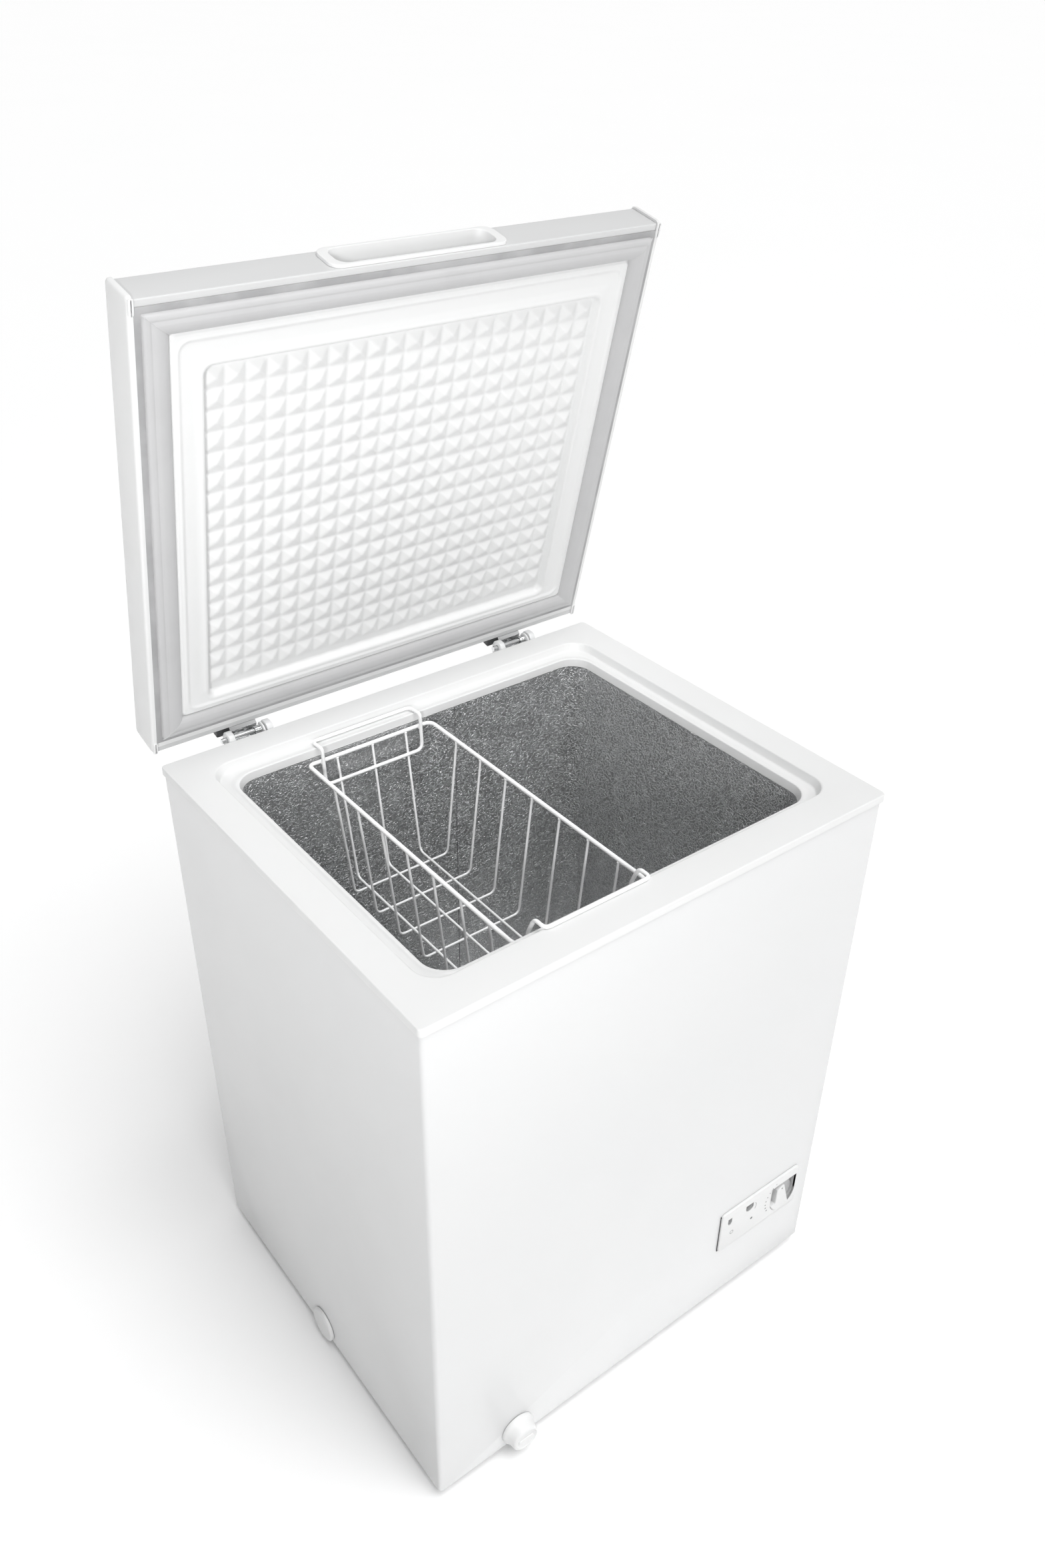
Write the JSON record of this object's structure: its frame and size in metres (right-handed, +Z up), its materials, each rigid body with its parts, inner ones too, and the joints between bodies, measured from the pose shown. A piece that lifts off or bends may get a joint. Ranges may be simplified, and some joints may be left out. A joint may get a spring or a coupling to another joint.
{
  "type": "chest freezer",
  "caption": "Small white chest freezer, hinged lid open, embossed metal tub with one sliding wire basket, dial thermostat low on the front and a front drain.",
  "frame": {"origin": "on the floor, under the middle of the whole freezer as it stands with its lid open", "axes": "+Z up; the front with the dial faces -Y; +X is to the right seen from the front"},
  "size_m": [0.6338, 0.6168, 1.3296],
  "materials": {
    "white_paint": "smooth glossy white enamel on sheet steel",
    "white_plastic": "white moulded plastic, satin gloss",
    "liner_sheet": "stucco-embossed bare sheet, soft sheen",
    "zinc_sheet": "galvanised sheet, dull spangle",
    "hinge_chrome": "bright plated steel",
    "gasket_rubber": "light grey soft vinyl, matt",
    "black_rubber": "matt black",
    "black_plastic": "fine matt texture",
    "black_paint": "semi-gloss black enamel",
    "foam": "rigid foam, dry open surface",
    "copper": "drawn tube, slightly dulled",
    "basket_coating": "white dipped coating over wire, glossy",
    "smoked_lens": "dark translucent lens"
  },
  "bodies": {
    "cabinet": {"outer_shell": "white_paint", "back_panel": "white_paint", "hinge_bracket_1": "white_paint", "hinge_bracket_2": "white_paint", "rim_frame": "white_plastic", "drain_tube": "white_plastic", "side_cap": "white_plastic", "control_panel": "white_plastic", "inner_liner": "liner_sheet", "base_pan": "zinc_sheet", "machine_wall": "zinc_sheet", "compressor_tray": "zinc_sheet", "rear_grille": "zinc_sheet", "hinge_pin_1": "hinge_chrome", "hinge_pin_2": "hinge_chrome", "hinge_spring_1": "hinge_chrome", "hinge_spring_2": "hinge_chrome", "cord_inlet": "black_rubber", "grommet_1": "black_rubber", "grommet_2": "black_rubber", "grommet_3": "black_rubber", "grommet_4": "black_rubber", "foot_front_left": "black_plastic", "foot_front_right": "black_plastic", "foot_rear_left": "black_plastic", "foot_rear_right": "black_plastic", "thermostat_body": "black_plastic", "terminal_cover": "black_plastic", "compressor_shell": "black_paint", "compressor_base": "black_paint", "insulation_foam": "foam", "evaporator_tube": "copper", "condenser_tube": "copper", "suction_line": "copper", "discharge_line": "copper", "filter_drier": "copper", "power_lens": "smoked_lens", "run_lens": "smoked_lens"},
    "lid": {"lid_skin": "white_paint", "lid_end_cap_left": "white_plastic", "lid_end_cap_right": "white_plastic", "lid_liner": "white_plastic", "lid_handle": "white_plastic", "hinge_leaf_1": "hinge_chrome", "hinge_leaf_2": "hinge_chrome", "lid_gasket": "gasket_rubber", "hinge_cover_1": "black_plastic", "hinge_cover_2": "black_plastic", "lid_foam": "foam"},
    "basket": {"basket_frame": "basket_coating", "basket_cage": "basket_coating", "basket_hook_back": "basket_coating", "basket_hook_front": "basket_coating"},
    "knob": {"thermostat_knob": "white_plastic"},
    "front_drain_cap": {"drain_cap": "white_plastic"},
    "inner_drain_plug": {"drain_plug": "white_plastic"}
  },
  "joints": [
    {"name": "lid_hinge", "type": "hinge", "parent": "cabinet", "child": "lid", "pos_m": [0, 0.256, 0.779], "axis": [1, 0, 0], "range_deg": [0, 76.5]},
    {"name": "basket_slide", "type": "slide", "parent": "cabinet", "child": "basket", "axis": [1, 0, 0], "range_m": [-0.07, 0.2]},
    {"name": "thermostat_turn", "type": "hinge", "parent": "cabinet", "child": "knob", "pos_m": [0.257, -0.28, 0.14], "axis": [0, -1, 0], "range_deg": [-120, 120]},
    {"name": "drain_cap_pull", "type": "slide", "parent": "cabinet", "child": "front_drain_cap", "axis": [0, -1, 0], "range_m": [0, 0.03]},
    {"name": "drain_plug_lift", "type": "slide", "parent": "cabinet", "child": "inner_drain_plug", "axis": [0, 0, 1], "range_m": [0, 0.03]}
  ]
}
